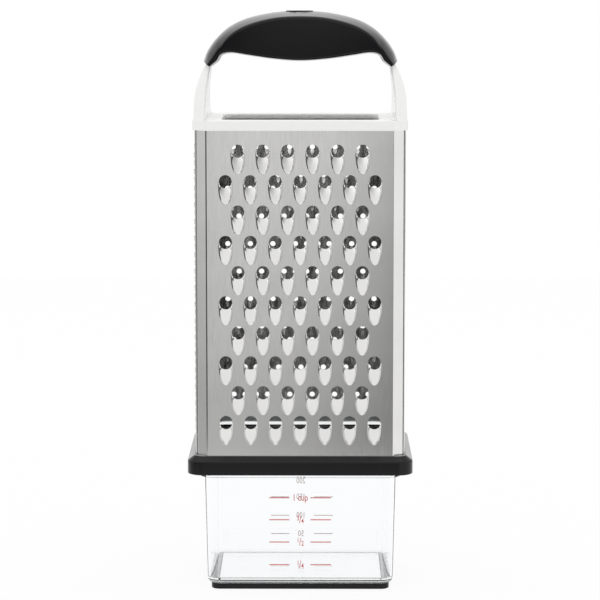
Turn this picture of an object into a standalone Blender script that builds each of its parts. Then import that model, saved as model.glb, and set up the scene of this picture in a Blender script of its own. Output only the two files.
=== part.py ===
"""Four-sided box grater with a carrying handle, standing on a clear measuring container.

Metres, +Z up. The origin is at the middle of the underside, the width runs along X, the
depth along Y, and the coarse side faces -Y. Two bodies: the container with its foot, and
the grater, which lifts straight off it along +Z.
"""

import math

import bmesh
import bpy
from mathutils import Vector
from mathutils.geometry import delaunay_2d_cdt

MM = 0.001

# Steel tube, measured over its outer faces
TUBE_WIDTH = 101.9 * MM
TUBE_DEPTH = 78.6 * MM
TUBE_CORNER = 5.6 * MM          # leg of the 45 degree corner facet
SHEET = 0.6 * MM
LAP_LENGTH = 6.0 * MM           # flange folded back behind each side sheet
TUBE_HEIGHT = 166.7 * MM

# Gap that two pieces keep where one rests on the other
SEAT = 0.3 * MM

# Clear container and its non-slip foot
FOOT_HEIGHT = 2.8 * MM
FOOT_WIDTH = 3.2 * MM
FOOT_INSET = 1.8 * MM           # from the container's outer wall
FOOT_EDGE = 0.5 * MM
CUP_WALL = 1.8 * MM
CUP_FLOOR = 2.5 * MM
CUP_BODY_HEIGHT = 53.7 * MM     # underside to the rim flange
CUP_TOP_INSET = 4.1 * MM        # body face under the flange, in from the tube's face
CUP_DRAFT = 1.25 * MM           # further inset at the bottom
CUP_CORNER = 6.0 * MM
CUP_EDGE = 2.2 * MM             # rounding round the underside
CUP_FILLET = 1.5 * MM           # between the floor and the walls
CUP_FLANGE = 1.9 * MM
CUP_FLANGE_INSET = 1.4 * MM
CUP_NECK_HEIGHT = 5.0 * MM
NECK_STEP = 0.7 * MM            # neck, in from the body's face

# Base: a hard frame that holds the sheets, in a soft skirt
BASE_PLATE = 2.2 * MM
UPSTAND_HEIGHT = 8.2 * MM       # wall inside the tube, above the plate
UPSTAND_WALL = 1.5 * MM
NECK_CLEARANCE = 0.5 * MM
SKIRT_WALL = 3.75 * MM
SKIRT_HEIGHT = 9.0 * MM
SKIRT_LAND = 0.5 * MM           # flat top beside the sheets
SKIRT_SLOPE = 2.5 * MM          # height of the slope from there down to the wall
SKIRT_EDGE = 0.9 * MM
SKIRT_CORNER = 8.0 * MM
CORNER_STEPS = 4

# Top collar, moulded in one with the handle's arms
COLLAR_WALL = 0.7 * MM
COLLAR_HEIGHT = 4.7 * MM
COLLAR_PLATE = 2.5 * MM
COLLAR_EDGE = 0.4 * MM
SPIGOT_HEIGHT = 7.0 * MM
TOP_OPENING_WIDTH = 76.6 * MM
TOP_OPENING_DEPTH = 53.0 * MM
TOP_OPENING_CORNER = 6.0 * MM

# Handle arms and the arch that the grip is moulded over
ARM_INSET = 0.4 * MM            # the arms' outer faces, in from the collar's
ARM_PROUD = 0.01 * MM           # their corner facets, out from the collar's
ARM_THICKNESS = 5.8 * MM
ARM_NOSE = 0.9 * MM             # flat that blunts the arm's edge
ARM_TOP_DEPTH = 25.0 * MM
ARM_RISE = 25.9 * MM            # from the collar's top to the grip
ARM_STRAIGHT = 7.5 * MM         # lower stretch before the arm leans in
ARM_LEAN = 5.1 * MM             # how far its outer face has come in at the grip
ARM_TAPER = 2.9 * MM            # loss of thickness over the same stretch
ARM_DEPTH_CURVE = 1.45
ARM_STATIONS = 8
ARCH_DEPTH = 20.0 * MM

# Grip
GRIP_RISE = 26.0 * MM            # from the tops of the arms to the top of the grip
# Outer and inner points of its sections, from the right end to the top: across as a share
# of the arms' half span, and height as a share of the grip's rise
GRIP_PROFILE = (
    ((1.056, 0.065), (0.964, -0.036)),
    ((1.007, 0.196), (0.893, 0.060)),
    ((0.920, 0.400), (0.850, 0.172)),
    ((0.782, 0.623), (0.747, 0.204)),
    ((0.584, 0.808), (0.569, 0.158)),
    ((0.289, 0.954), (0.289, 0.088)),
    ((0.0, 1.0), (0.0, 0.054)),
)
GRIP_DEPTH = 34.0 * MM
GRIP_END_DEPTH = 32.0 * MM
GRIP_ROUNDING = 3.8 * MM        # of the edges between its front, top, back and underside
GRIP_CROWN = 0.5 * MM           # how far its front and back stand out in the middle
GRIP_CORNER_POINTS = 4
GRIP_END_EDGE = 0.4 * MM
INLAY_LENGTH = 13.4 * MM
INLAY_WIDTH = 9.0 * MM
INLAY_HEIGHT = 1.6 * MM
INLAY_STAND = 0.7 * MM          # how far it stands above the grip
INLAY_DOME = 0.25 * MM
INLAY_SIDES = 20

# Coarse side: round holes with a raised scoop below each
COARSE_PITCH = 12.0 * MM
COARSE_ROW_PITCH = 14.66 * MM
COARSE_TOP_DROP = 11.6 * MM     # tube's top to the centres of the top row
COARSE_BOTTOM_MARGIN = 20.0 * MM
COARSE_SIDE_MARGIN = 7.0 * MM
COARSE_HOLE = 6.2 * MM
COARSE_SCOOP_HALF = 3.28 * MM    # half its width
COARSE_SCOOP_START = 3.0 * MM   # from the hole's centre down to where its sides turn in
COARSE_SCOOP_LENGTH = 11.1 * MM
COARSE_SCOOP_HEIGHT = 2.0 * MM
COARSE_RIM_POINTS = 12

# Medium side
MEDIUM_PITCH = 5.77 * MM
MEDIUM_ROW_PITCH = 7.1 * MM
MEDIUM_TOP_DROP = 14.6 * MM
MEDIUM_BOTTOM_MARGIN = 15.0 * MM
MEDIUM_SIDE_MARGIN = 7.0 * MM
MEDIUM_HOLE = 2.7 * MM
MEDIUM_SCOOP_LENGTH = 4.6 * MM
MEDIUM_SCOOP_HEIGHT = 1.1 * MM

# Fine side: a field of small sharp points
FINE_PITCH = 5.2 * MM
FINE_ROW_PITCH = 4.06 * MM
FINE_TOP_DROP = 10.1 * MM
FINE_BOTTOM_MARGIN = 13.0 * MM
FINE_SIDE_MARGIN = 3.2 * MM
FINE_POINT = 0.7 * MM

# Slicing side: slots with a flush blade below a ramp pressed inwards
SLICER_PITCH = 36.0 * MM
SLICER_TOP_DROP = 31.0 * MM
SLICER_BOTTOM_MARGIN = 18.0 * MM
SLICER_SIDE_MARGIN = 8.7 * MM
SLICER_SLOT = 2.6 * MM          # height of the open slot
SLICER_RAMP = 11.0 * MM         # height of the ramp above it
SLICER_PRESS = 2.0 * MM
SLICER_CORNER = 3.5 * MM

SMOOTH_ANGLE = math.radians(40)  # faces that meet at less than this are shaded as one

WHITE = ("white_plastic", (0.90, 0.90, 0.88), 0.35, 0.0)
BLACK = ("black_plastic", (0.020, 0.020, 0.022), 0.45, 0.0)
SOFT = ("black_soft", (0.015, 0.015, 0.016), 0.6, 0.0)
STEEL = ("steel", (0.62, 0.62, 0.61), 0.28, 1.0)
CLEAR = ("clear_plastic", (0.95, 0.96, 0.97), 0.05, 0.0)

# Levels, from the floor up
CUP_BOTTOM = FOOT_HEIGHT + SEAT
CUP_FLOOR_TOP = CUP_BOTTOM + CUP_FLOOR
FLANGE_BOTTOM = CUP_BOTTOM + CUP_BODY_HEIGHT
FLANGE_TOP = FLANGE_BOTTOM + CUP_FLANGE
NECK_TOP = FLANGE_TOP + CUP_NECK_HEIGHT
BASE_BOTTOM = FLANGE_TOP + SEAT
PLATE_TOP = BASE_BOTTOM + BASE_PLATE
UPSTAND_TOP = PLATE_TOP + UPSTAND_HEIGHT
SKIRT_TOP = BASE_BOTTOM + SKIRT_HEIGHT
TUBE_BOTTOM = PLATE_TOP + SEAT
TUBE_TOP = TUBE_BOTTOM + TUBE_HEIGHT
COLLAR_CEILING = TUBE_TOP + SEAT
COLLAR_TOP = COLLAR_CEILING + COLLAR_PLATE
COLLAR_BOTTOM = COLLAR_TOP - COLLAR_HEIGHT
SPIGOT_BOTTOM = COLLAR_CEILING - SPIGOT_HEIGHT
ARM_TOP = COLLAR_TOP + ARM_RISE

# Offsets from the tube's outer faces, inwards negative
INSIDE_LAPS = -(2 * SHEET + 2 * SEAT)
CUP_TOP_FACE = -CUP_TOP_INSET
CUP_BOTTOM_FACE = -(CUP_TOP_INSET + CUP_DRAFT)
NECK_FACE = CUP_TOP_FACE - NECK_STEP
SKIRT_FACE = SEAT + SKIRT_WALL
COLLAR_FACE = SEAT + COLLAR_WALL


def material(spec):
    name, colour, roughness, metallic = spec
    found = bpy.data.materials.get(name)
    if found:
        return found
    made = bpy.data.materials.new(name)
    made.use_nodes = True
    shader = made.node_tree.nodes["Principled BSDF"]
    shader.inputs["Base Color"].default_value = (*colour, 1.0)
    shader.inputs["Roughness"].default_value = roughness
    shader.inputs["Metallic"].default_value = metallic
    if spec is CLEAR:
        shader.inputs["Transmission Weight"].default_value = 1.0
    return made


def shade(mesh):
    mesh.shade_smooth()
    mesh.set_sharp_from_angle(angle=SMOOTH_ANGLE)


def add_object(name, mesh_data, spec, smooth=False):
    """Make the named object from a bmesh, with its normals facing out."""
    bmesh.ops.recalc_face_normals(mesh_data, faces=mesh_data.faces[:])
    mesh = bpy.data.meshes.new(name)
    mesh_data.to_mesh(mesh)
    mesh_data.free()
    if smooth:
        shade(mesh)
    placed = bpy.data.objects.new(name, mesh)
    mesh.materials.append(material(spec))
    bpy.context.scene.collection.objects.link(placed)
    return placed


def cut(target, cutter, operation):
    """Apply an exact Boolean to target and remove the cutter."""
    modifier = target.modifiers.new(operation.lower(), "BOOLEAN")
    modifier.operation = operation
    modifier.solver = "EXACT"
    modifier.object = cutter
    graph = bpy.context.evaluated_depsgraph_get()
    result = bpy.data.meshes.new_from_object(target.evaluated_get(graph))
    target.modifiers.remove(modifier)
    target.data = result
    bpy.data.objects.remove(cutter)


def corner_curve(half_x, half_y, size, rounded):
    """Points of the +X +Y corner, from the +X side round to the +Y side."""
    points = []
    for step in range(CORNER_STEPS + 1):
        share = step / CORNER_STEPS
        if rounded:
            angle = share * math.pi / 2
            along = 1 - math.cos(angle)
            across = 1 - math.sin(angle)
        else:
            along = share
            across = 1 - share
        points.append((half_x - along * size, half_y - across * size))
    return points


def plan_loop(half_x, half_y, size, rounded):
    """Closed plan outline, counter-clockwise, with four equal corners."""
    corner = corner_curve(half_x, half_y, size, rounded)
    second = [(-x, y) for x, y in reversed(corner)]
    third = [(-x, -y) for x, y in corner]
    fourth = [(x, -y) for x, y in reversed(corner)]
    return corner + second + third + fourth


def tube_loop(offset):
    """Outline parallel to the tube's faces and corner facets."""
    size = TUBE_CORNER + offset * (2 - math.sqrt(2))
    return plan_loop(TUBE_WIDTH / 2 + offset, TUBE_DEPTH / 2 + offset, size, False)


def round_loop(offset, radius):
    """Outline parallel to the tube's faces, with round corners."""
    return plan_loop(TUBE_WIDTH / 2 + offset, TUBE_DEPTH / 2 + offset, radius, True)


def skin(mesh_data, rings, closed_rings=True, closed_path=False):
    """Join rings of points, each the same length, with quads. Returns the vertices."""
    rows = [[mesh_data.verts.new(point) for point in ring] for ring in rings]
    count = len(rows[0])
    pairs = list(zip(rows, rows[1:]))
    if closed_path:
        pairs.append((rows[-1], rows[0]))
    last = count if closed_rings else count - 1
    for lower, upper in pairs:
        for i in range(last):
            j = (i + 1) % count
            mesh_data.faces.new((lower[i], lower[j], upper[j], upper[i]))
    return rows


def raise_loop(loop, height):
    return [(x, y, height) for x, y in loop]


def ring_solid(levels):
    """Closed ring: each level is a plan outline and its height, round the section."""
    mesh_data = bmesh.new()
    skin(mesh_data, [raise_loop(loop, height) for loop, height in levels], closed_path=True)
    return mesh_data


def stack_solid(levels):
    """Solid through plan outlines from its first flat end to its last."""
    mesh_data = bmesh.new()
    rows = skin(mesh_data, [raise_loop(loop, height) for loop, height in levels])
    mesh_data.faces.new(rows[0])
    mesh_data.faces.new(list(reversed(rows[-1])))
    return mesh_data


def make_foot():
    outer = CUP_BOTTOM_FACE - FOOT_INSET
    inner = outer - FOOT_WIDTH
    corner = CUP_CORNER - FOOT_INSET
    inner_corner = max(corner - FOOT_WIDTH, FOOT_EDGE)
    levels = [
        (round_loop(outer - FOOT_EDGE, corner - FOOT_EDGE), 0.0),
        (round_loop(outer, corner), FOOT_EDGE),
        (round_loop(outer, corner), FOOT_HEIGHT),
        (round_loop(inner, inner_corner), FOOT_HEIGHT),
        (round_loop(inner, inner_corner), 0.0),
    ]
    add_object("container_foot", ring_solid(levels), SOFT, True)


def make_container():
    def face_at(height):
        share = (FLANGE_BOTTOM - height) / CUP_BODY_HEIGHT
        return CUP_TOP_FACE + share * (CUP_BOTTOM_FACE - CUP_TOP_FACE)

    bend = 1 - math.sqrt(0.5)
    inner_corner = CUP_CORNER - CUP_WALL
    flange_corner = CUP_CORNER + CUP_TOP_INSET - CUP_FLANGE_INSET
    fillet_top = CUP_FLOOR_TOP + CUP_FILLET
    inner_low = face_at(fillet_top) - CUP_WALL
    floor_corner = max(inner_corner - CUP_FILLET * bend, CUP_FILLET * bend)
    levels = [
        (round_loop(CUP_BOTTOM_FACE - CUP_EDGE, CUP_CORNER - CUP_EDGE), CUP_BOTTOM),
        (round_loop(CUP_BOTTOM_FACE - CUP_EDGE * bend, CUP_CORNER), CUP_BOTTOM + CUP_EDGE * bend),
        (round_loop(face_at(CUP_BOTTOM + CUP_EDGE), CUP_CORNER), CUP_BOTTOM + CUP_EDGE),
        (round_loop(CUP_TOP_FACE, CUP_CORNER), FLANGE_BOTTOM),
        (round_loop(-CUP_FLANGE_INSET, flange_corner), FLANGE_BOTTOM),
        (round_loop(-CUP_FLANGE_INSET, flange_corner), FLANGE_TOP),
        (round_loop(NECK_FACE, CUP_CORNER), FLANGE_TOP),
        (round_loop(NECK_FACE, CUP_CORNER), NECK_TOP),
        (round_loop(NECK_FACE - CUP_WALL, inner_corner), NECK_TOP),
        (round_loop(inner_low, inner_corner), fillet_top),
        (round_loop(inner_low - CUP_FILLET * bend, inner_corner), CUP_FLOOR_TOP + CUP_FILLET * bend),
        (round_loop(inner_low - CUP_FILLET, floor_corner), CUP_FLOOR_TOP),
    ]
    add_object("container", stack_solid(levels), CLEAR, True)


def make_base_frame():
    upstand_out = INSIDE_LAPS
    upstand_in = upstand_out - UPSTAND_WALL
    mouth = NECK_FACE + NECK_CLEARANCE
    levels = [
        (tube_loop(0.0), BASE_BOTTOM),
        (tube_loop(0.0), PLATE_TOP),
        (tube_loop(upstand_out), PLATE_TOP),
        (tube_loop(upstand_out), UPSTAND_TOP),
        (tube_loop(upstand_in), UPSTAND_TOP),
        (tube_loop(upstand_in), PLATE_TOP),
        (round_loop(mouth, CUP_CORNER), PLATE_TOP),
        (round_loop(mouth, CUP_CORNER), BASE_BOTTOM),
    ]
    add_object("base_frame", ring_solid(levels), BLACK)


def make_base_skirt():
    land = SEAT + SKIRT_LAND
    levels = [
        (tube_loop(SEAT), BASE_BOTTOM),
        (round_loop(SKIRT_FACE - SKIRT_EDGE, SKIRT_CORNER - SKIRT_EDGE), BASE_BOTTOM),
        (round_loop(SKIRT_FACE, SKIRT_CORNER), BASE_BOTTOM + SKIRT_EDGE),
        (round_loop(SKIRT_FACE, SKIRT_CORNER), SKIRT_TOP - SKIRT_SLOPE),
        (round_loop(land, SKIRT_CORNER + land - SKIRT_FACE), SKIRT_TOP),
        (tube_loop(SEAT), SKIRT_TOP),
    ]
    add_object("base_skirt", ring_solid(levels), SOFT, True)


def fold_frames(path):
    """Developed distance, place and mitred outward normal at each point of a plan path.

    The path runs with the outside on its right, so +X travel faces -Y.
    """
    points = [Vector(point) for point in path]
    runs = [(b - a).normalized() for a, b in zip(points, points[1:])]
    frames = []
    distance = 0.0
    for i, point in enumerate(points):
        if i:
            distance += (point - points[i - 1]).length
        before = runs[max(i - 1, 0)]
        after = runs[min(i, len(runs) - 1)]
        outward = (Vector((before.y, -before.x)) + Vector((after.y, -after.x))).normalized()
        stretch = 1 / outward.dot(Vector((after.y, -after.x)))
        frames.append((distance, point, outward * stretch))
    return frames


def folded(frames, across):
    """Place and outward normal at a developed distance across the sheet."""
    for (low, a, normal_a), (high, b, normal_b) in zip(frames, frames[1:]):
        if across <= high + 1e-7:
            share = (across - low) / (high - low)
            if share < 1e-6:
                return a, normal_a
            if share > 1 - 1e-6:
                return b, normal_b
            run = (b - a).normalized()
            return a.lerp(b, share), Vector((run.y, -run.x))
    raise ValueError("a point lies off the sheet")


def punched_sheet(name, path, punches):
    """Folded sheet with holes. Each punch is a rim loop and open crease lines, both lists
    of (across, up, push): across from the middle of the sheet, up from the tube's bottom,
    push outwards. Only creases join the rim to flush points of the raised metal."""
    frames = fold_frames(path)
    width = frames[-1][0]
    middle = width / 2
    flat = []
    pushes = []
    edges = []

    def add_point(across, up, push=0.0):
        flat.append(Vector((across, up)))
        pushes.append(push)
        return len(flat) - 1

    low = [add_point(frame[0], 0.0) for frame in frames]
    high = [add_point(frame[0], TUBE_HEIGHT) for frame in frames]
    outline = low + list(reversed(high))
    edges += [(a, b) for a, b in zip(low[1:-1], high[1:-1])]
    faces = [outline]
    for rim, creases in punches:
        loop = [add_point(middle + x, z, push) for x, z, push in rim]
        faces.append(loop)
        for crease in creases:
            ids = [loop[point] if isinstance(point, int) else
                   add_point(middle + point[0], point[1], point[2]) for point in crease]
            edges += list(zip(ids, ids[1:]))
    spots, _, triangles, sources, _, owners = delaunay_2d_cdt(flat, edges, faces, 1, 1e-7)
    mesh_data = bmesh.new()
    skins = []
    for depth in (0.0, -SHEET):
        row = []
        for spot, source in zip(spots, sources):
            place, outward = folded(frames, spot.x)
            point = place + outward * (pushes[source[0]] + depth)
            row.append(mesh_data.verts.new((point.x, point.y, TUBE_BOTTOM + spot.y)))
        skins.append(row)
    outer, inner = skins
    borders = {}
    for triangle, owner in zip(triangles, owners):
        if max(owner) > 0:
            continue
        mesh_data.faces.new([outer[i] for i in triangle])
        mesh_data.faces.new([inner[i] for i in reversed(triangle)])
        for a, b in zip(triangle, triangle[1:] + triangle[:1]):
            if (b, a) in borders:
                del borders[(b, a)]
            else:
                borders[(a, b)] = True
    for a, b in borders:
        mesh_data.faces.new((outer[b], outer[a], inner[a], inner[b]))
    loose = [vertex for vertex in mesh_data.verts if not vertex.link_faces]
    bmesh.ops.delete(mesh_data, geom=loose, context="VERTS")
    add_object(name, mesh_data, STEEL)


def rows_that_fit(top_drop, bottom_margin, row_pitch):
    return int((TUBE_HEIGHT - top_drop - bottom_margin) / row_pitch) + 1


def staggered(pitch, row_pitch, top_drop, bottom_margin, side_margin):
    """Centres of a staggered pattern: full rows alternate with rows of one hole less."""
    flat_width = TUBE_WIDTH - 2 * TUBE_CORNER
    full = int((flat_width - 2 * side_margin) / pitch) + 1
    centres = []
    for row in range(rows_that_fit(top_drop, bottom_margin, row_pitch)):
        count = full if row % 2 else full - 1
        up = TUBE_HEIGHT - top_drop - row * row_pitch
        for column in range(count):
            centres.append(((column - (count - 1) / 2) * pitch, up))
    return centres


def coarse_punch(x, z):
    """Round hole whose lower lip stands out as a scoop: straight sides, then half an ellipse."""
    radius = COARSE_HOLE / 2
    rim = []
    for i in range(COARSE_RIM_POINTS):
        angle = 2 * math.pi * i / COARSE_RIM_POINTS
        climb = min(max((-math.sin(angle) - 0.2) / 0.55, 0.0), 1.0)
        push = COARSE_SCOOP_HEIGHT * climb * climb * (3 - 2 * climb)
        rim.append((x + radius * math.cos(angle), z + radius * math.sin(angle), push))
    crease = [COARSE_RIM_POINTS // 2]
    for turn in (0, 35, 65, 90, 115, 145, 180):
        turn = math.radians(turn)
        down = COARSE_SCOOP_START + (COARSE_SCOOP_LENGTH - COARSE_SCOOP_START) * math.sin(turn)
        crease.append((x - COARSE_SCOOP_HALF * math.cos(turn), z - down, 0.0))
    crease.append(0)
    return rim, [crease]


def medium_punch(x, z):
    """Small three-cornered hole with a raised lower lip and a short scoop."""
    radius = MEDIUM_HOLE / 2
    rim = [
        (x + radius, z + radius * 0.6, 0.0),
        (x - radius, z + radius * 0.6, 0.0),
        (x, z - radius, MEDIUM_SCOOP_HEIGHT),
    ]
    tip = (x, z - MEDIUM_SCOOP_LENGTH, 0.0)
    return rim, [[1, tip, 0], [2, tip]]


def slicer_punch(z):
    """Wide slot: flush blade edge below, ramp pressed inwards above."""
    half = TUBE_DEPTH / 2 - TUBE_CORNER - SLICER_SIDE_MARGIN
    ramp_foot = z + SLICER_SLOT
    rim = [
        (-half, z, 0.0),
        (half, z, 0.0),
        (half - SLICER_CORNER, ramp_foot, -SLICER_PRESS),
        (-half + SLICER_CORNER, ramp_foot, -SLICER_PRESS),
    ]
    side = z + SLICER_CORNER
    top = z + SLICER_SLOT + SLICER_RAMP
    outline = [
        1,
        (half, side, 0.0),
        (half - SLICER_CORNER, top, 0.0),
        (-half + SLICER_CORNER, top, 0.0),
        (-half, side, 0.0),
        0,
    ]
    return rim, [outline]


def flanged_path():
    """Plan path of the front sheet: flange, corner facet, flat, facet, flange."""
    flange_x = TUBE_WIDTH / 2 - SHEET - SEAT
    flat_x = TUBE_WIDTH / 2 - TUBE_CORNER
    front = -TUBE_DEPTH / 2
    bend_y = front + (flange_x - flat_x)
    left = [(-flange_x, bend_y + LAP_LENGTH), (-flange_x, bend_y), (-flat_x, front)]
    return left + [(-x, y) for x, y in reversed(left)]


def turned(path):
    """The same path on the opposite side of the tube."""
    return [(-x, -y) for x, y in path]


def side_path():
    """Plan path of the +X side sheet, which lies over the two flanges."""
    x = TUBE_WIDTH / 2
    half = TUBE_DEPTH / 2 - TUBE_CORNER
    return [(x, -half), (x, half)]


def make_sheets():
    coarse = staggered(COARSE_PITCH, COARSE_ROW_PITCH, COARSE_TOP_DROP,
                       COARSE_BOTTOM_MARGIN, COARSE_SIDE_MARGIN)
    punched_sheet("coarse_panel", flanged_path(), [coarse_punch(x, z) for x, z in coarse])
    medium = staggered(MEDIUM_PITCH, MEDIUM_ROW_PITCH, MEDIUM_TOP_DROP,
                       MEDIUM_BOTTOM_MARGIN, MEDIUM_SIDE_MARGIN)
    punched_sheet("medium_panel", turned(flanged_path()), [medium_punch(x, z) for x, z in medium])
    count = rows_that_fit(SLICER_TOP_DROP, SLICER_BOTTOM_MARGIN, SLICER_PITCH)
    slots = [TUBE_HEIGHT - SLICER_TOP_DROP - i * SLICER_PITCH for i in range(count)]
    punched_sheet("slicer_panel", side_path(), [slicer_punch(z) for z in slots])


def make_fine_panel():
    """Side sheet whose outer face rises into rows of four-sided points."""
    half = TUBE_DEPTH / 2 - TUBE_CORNER
    columns = int((2 * half - 2 * FINE_SIDE_MARGIN) / FINE_PITCH)
    rows = rows_that_fit(FINE_TOP_DROP, FINE_BOTTOM_MARGIN, FINE_ROW_PITCH)
    face_x = -TUBE_WIDTH / 2
    flat = [Vector((-half, 0)), Vector((half, 0)), Vector((half, TUBE_HEIGHT)),
            Vector((-half, TUBE_HEIGHT))]
    heights = [0.0] * 4
    for row in range(-1, rows + 1):
        up = TUBE_HEIGHT - FINE_TOP_DROP - row * FINE_ROW_PITCH
        for step in range(2 * columns + 1):
            is_point = (step + row) % 2 == 1 and 0 <= row < rows
            edge_step = step in (0, 2 * columns)
            flat.append(Vector(((step - columns) * FINE_PITCH / 2, up)))
            heights.append(FINE_POINT if is_point and not edge_step else 0.0)
    spots, _, triangles, sources, _, _ = delaunay_2d_cdt(flat, [], [[0, 1, 2, 3]], 1, 1e-7)
    mesh_data = bmesh.new()
    verts = []
    for spot, source in zip(spots, sources):
        place = (face_x - heights[source[0]], -spot.x, TUBE_BOTTOM + spot.y)
        verts.append(mesh_data.verts.new(place))
    for triangle in triangles:
        mesh_data.faces.new([verts[i] for i in triangle])
    border = [verts[sources.index([i])] for i in range(4)]
    back = [mesh_data.verts.new((face_x + SHEET, v.co.y, v.co.z)) for v in border]
    mesh_data.faces.new(list(reversed(back)))
    for i in range(4):
        j = (i + 1) % 4
        mesh_data.faces.new((border[i], border[j], back[j], back[i]))
    add_object("fine_panel", mesh_data, STEEL)


def collar_solid():
    mouth = (TOP_OPENING_WIDTH / 2, TOP_OPENING_DEPTH / 2, TOP_OPENING_CORNER)
    eased = [size + COLLAR_EDGE for size in mouth]
    spigot_out = INSIDE_LAPS
    spigot_in = spigot_out - UPSTAND_WALL
    levels = [
        (tube_loop(COLLAR_FACE), COLLAR_BOTTOM),
        (tube_loop(COLLAR_FACE), COLLAR_TOP - COLLAR_EDGE),
        (tube_loop(COLLAR_FACE - COLLAR_EDGE), COLLAR_TOP),
        (plan_loop(*eased, True), COLLAR_TOP),
        (plan_loop(*mouth, True), COLLAR_TOP - COLLAR_EDGE),
        (plan_loop(*mouth, True), COLLAR_CEILING),
        (tube_loop(spigot_in), COLLAR_CEILING),
        (tube_loop(spigot_in), SPIGOT_BOTTOM),
        (tube_loop(spigot_out), SPIGOT_BOTTOM),
        (tube_loop(spigot_out), COLLAR_CEILING),
        (tube_loop(SEAT), COLLAR_CEILING),
        (tube_loop(SEAT), COLLAR_BOTTOM),
    ]
    return ring_solid(levels)


def arm_station(height):
    """Outer X, inner X and half depth of an arm at a height above the collar's top."""
    facet = TUBE_CORNER + COLLAR_FACE * (2 - math.sqrt(2))
    outer_base = TUBE_WIDTH / 2 + COLLAR_FACE - ARM_INSET
    inner_base = outer_base - ARM_THICKNESS
    depth_base = (TUBE_DEPTH / 2 + COLLAR_FACE - facet + ARM_INSET + ARM_THICKNESS - ARM_NOSE
                  + ARM_PROUD)
    lean = max(0.0, (height - ARM_STRAIGHT) / (ARM_RISE - ARM_STRAIGHT)) ** 2
    outer = outer_base - lean * ARM_LEAN
    inner = inner_base - lean * (ARM_LEAN - ARM_TAPER)
    rise = max(0.0, 1 - max(height, 0.0) / ARM_RISE)
    top_half = ARM_TOP_DEPTH / 2
    half = top_half + (depth_base - top_half) * rise ** ARM_DEPTH_CURVE
    return outer, inner, half


def strap_section(outer, inner, half, grow):
    """Six-sided section between two (x, z) points: outer side with 45 degree facets."""
    outer = Vector(outer)
    inner = Vector(inner)
    thickness = (outer - inner).length
    across = (outer - inner).normalized()
    nose = inner + across * min(ARM_NOSE, thickness / 3)
    facet = min(thickness - ARM_NOSE, half / 2)
    outer = outer + across * grow
    inner = inner - across * grow
    half += grow
    places = [
        (inner, -(half - ARM_NOSE)),
        (nose, -half),
        (outer, -(half - facet)),
        (outer, half - facet),
        (nose, half),
        (inner, half - ARM_NOSE),
    ]
    return [(point.x, y, point.y) for point, y in places]


def grip_pairs():
    """Outer and inner (x, z) points of the grip's sections, from the right end to the top:
    those of the profile and, on a smooth curve, one between each two."""
    outer, inner, _ = arm_station(ARM_RISE)
    reach = (outer + inner) / 2
    sides = []
    for side in (0, 1):
        right = [Vector((pair[side][0] * reach, ARM_TOP + pair[side][1] * GRIP_RISE))
                 for pair in GRIP_PROFILE]
        beyond = Vector((-right[-2].x, right[-2].y))
        given = [2 * right[0] - right[1]] + right + [beyond]
        curve = []
        for a, b, c, d in zip(given, given[1:], given[2:], given[3:]):
            curve += [b, (9 * (b + c) - a - d) / 16]
        sides.append(curve + [right[-1]])
    return list(zip(*sides))


def handle_sections(grow):
    """Sections from the right arm's foot, sunk in the collar, through the grip to the left
    arm's foot. Grow swells them all round, for the tunnel that takes them."""
    foot = -COLLAR_PLATE / 2
    sections = []
    for i in range(ARM_STATIONS):
        height = foot + (ARM_RISE - foot) * i / (ARM_STATIONS - 1)
        outer, inner, half = arm_station(height)
        level = COLLAR_TOP + height
        sections.append(strap_section((outer, level), (inner, level), half, grow))
    for outer, inner in grip_pairs()[2:]:
        middle = (outer + inner) / 2
        spread = (outer - inner).normalized() * (ARM_THICKNESS - ARM_TAPER) / 2
        sections.append(strap_section(middle + spread, middle - spread, ARCH_DEPTH / 2, grow))
    return sections + mirrored(sections[:-1])


def mirrored(sections):
    """The sections in reverse order on the other side of the middle."""
    return [[(-x, y, z) for x, y, z in section] for section in reversed(sections)]


def strap_solid(sections):
    mesh_data = bmesh.new()
    rows = skin(mesh_data, sections)
    mesh_data.faces.new(list(reversed(rows[0])))
    mesh_data.faces.new(rows[-1])
    return mesh_data


def make_handle_frame():
    frame = add_object("handle_frame", collar_solid(), WHITE)
    arms = add_object("arms", strap_solid(handle_sections(0.0)), WHITE)
    cut(frame, arms, "UNION")
    shade(frame.data)


def grip_section(outer, inner, depth, shrink=0.0):
    """Rounded rectangle between the outer and inner points, in their plane and Y."""
    centre = (outer + inner) / 2
    across = (outer - inner).normalized()
    reach = (outer - inner).length / 2 - shrink
    half = depth / 2 - shrink
    rounding = min(GRIP_ROUNDING, 0.96 * reach)
    points = []
    for out_sign, side_sign, first in ((1, -1, -90), (1, 1, 0), (-1, 1, 90), (-1, -1, 180)):
        for i in range(GRIP_CORNER_POINTS):
            angle = math.radians(first + 90 * i / (GRIP_CORNER_POINTS - 1))
            out = out_sign * (reach - rounding) + rounding * math.cos(angle)
            side = side_sign * (half - rounding) + rounding * math.sin(angle)
            place = centre + across * out
            crown = 1 - GRIP_CROWN / half * (out / reach) ** 2
            points.append((place.x, side * crown, place.y))
    return points


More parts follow.
